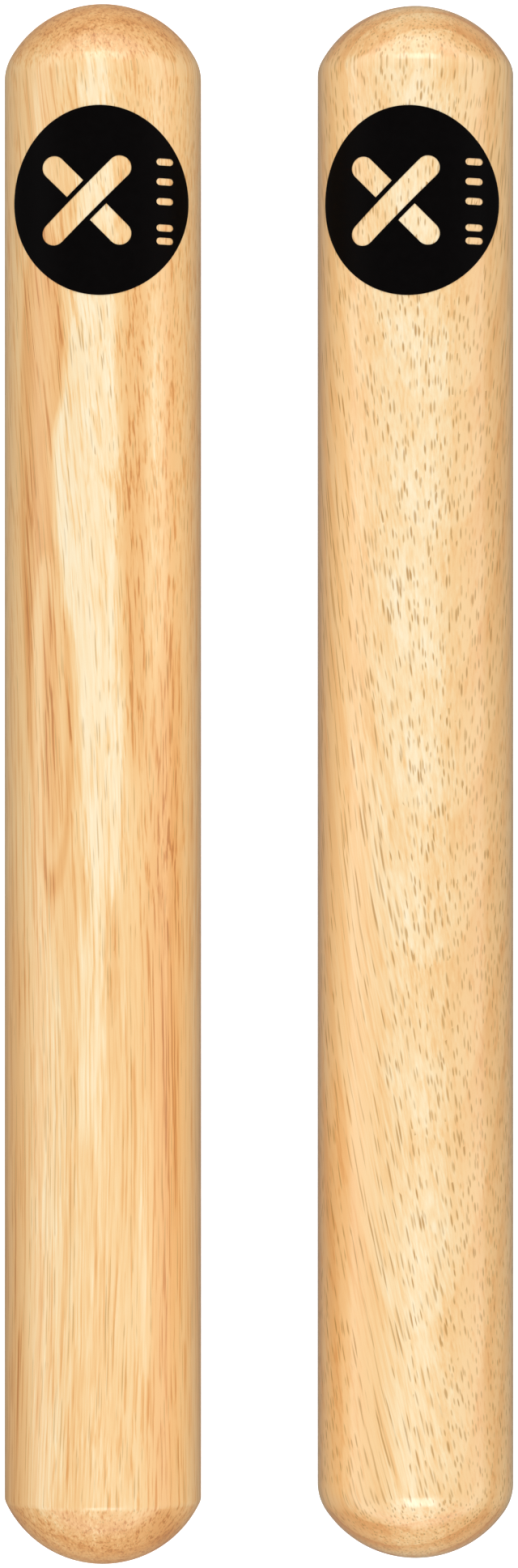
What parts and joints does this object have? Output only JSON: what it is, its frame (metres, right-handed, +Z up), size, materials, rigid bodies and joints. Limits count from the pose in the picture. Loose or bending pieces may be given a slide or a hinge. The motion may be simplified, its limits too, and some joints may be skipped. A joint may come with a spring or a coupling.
{
  "type": "claves",
  "caption": "Claves: round turned hardwood sticks with domed ends and a printed oval mark, knocked together to make a sharp, bright click.",
  "frame": {"origin": "on the flat surface the sticks lie on, under the middle of the pair's bounding box", "axes": "+Y along both sticks towards the ends that carry the printed marks, +X from the held stick to the striking stick, +Z up from the surface"},
  "size_m": [0.0662, 0.2032, 0.0257],
  "materials": {
    "held_wood": "clear satin lacquer over straight-grained pale hardwood",
    "striking_wood": "clear satin lacquer over open-pored pale hardwood",
    "mark_ink": "printed black ink film under the lacquer"
  },
  "bodies": {
    "held_clave": {"held_clave_stick": "held_wood", "held_clave_mark": "mark_ink"},
    "striking_clave": {"striking_clave_stick": "striking_wood", "striking_clave_mark": "mark_ink"}
  },
  "joints": [
    {"name": "strike_slide", "type": "slide", "parent": "held_clave", "child": "striking_clave", "axis": [1, 0, 0], "range_m": [-0.015, 0.085]}
  ]
}
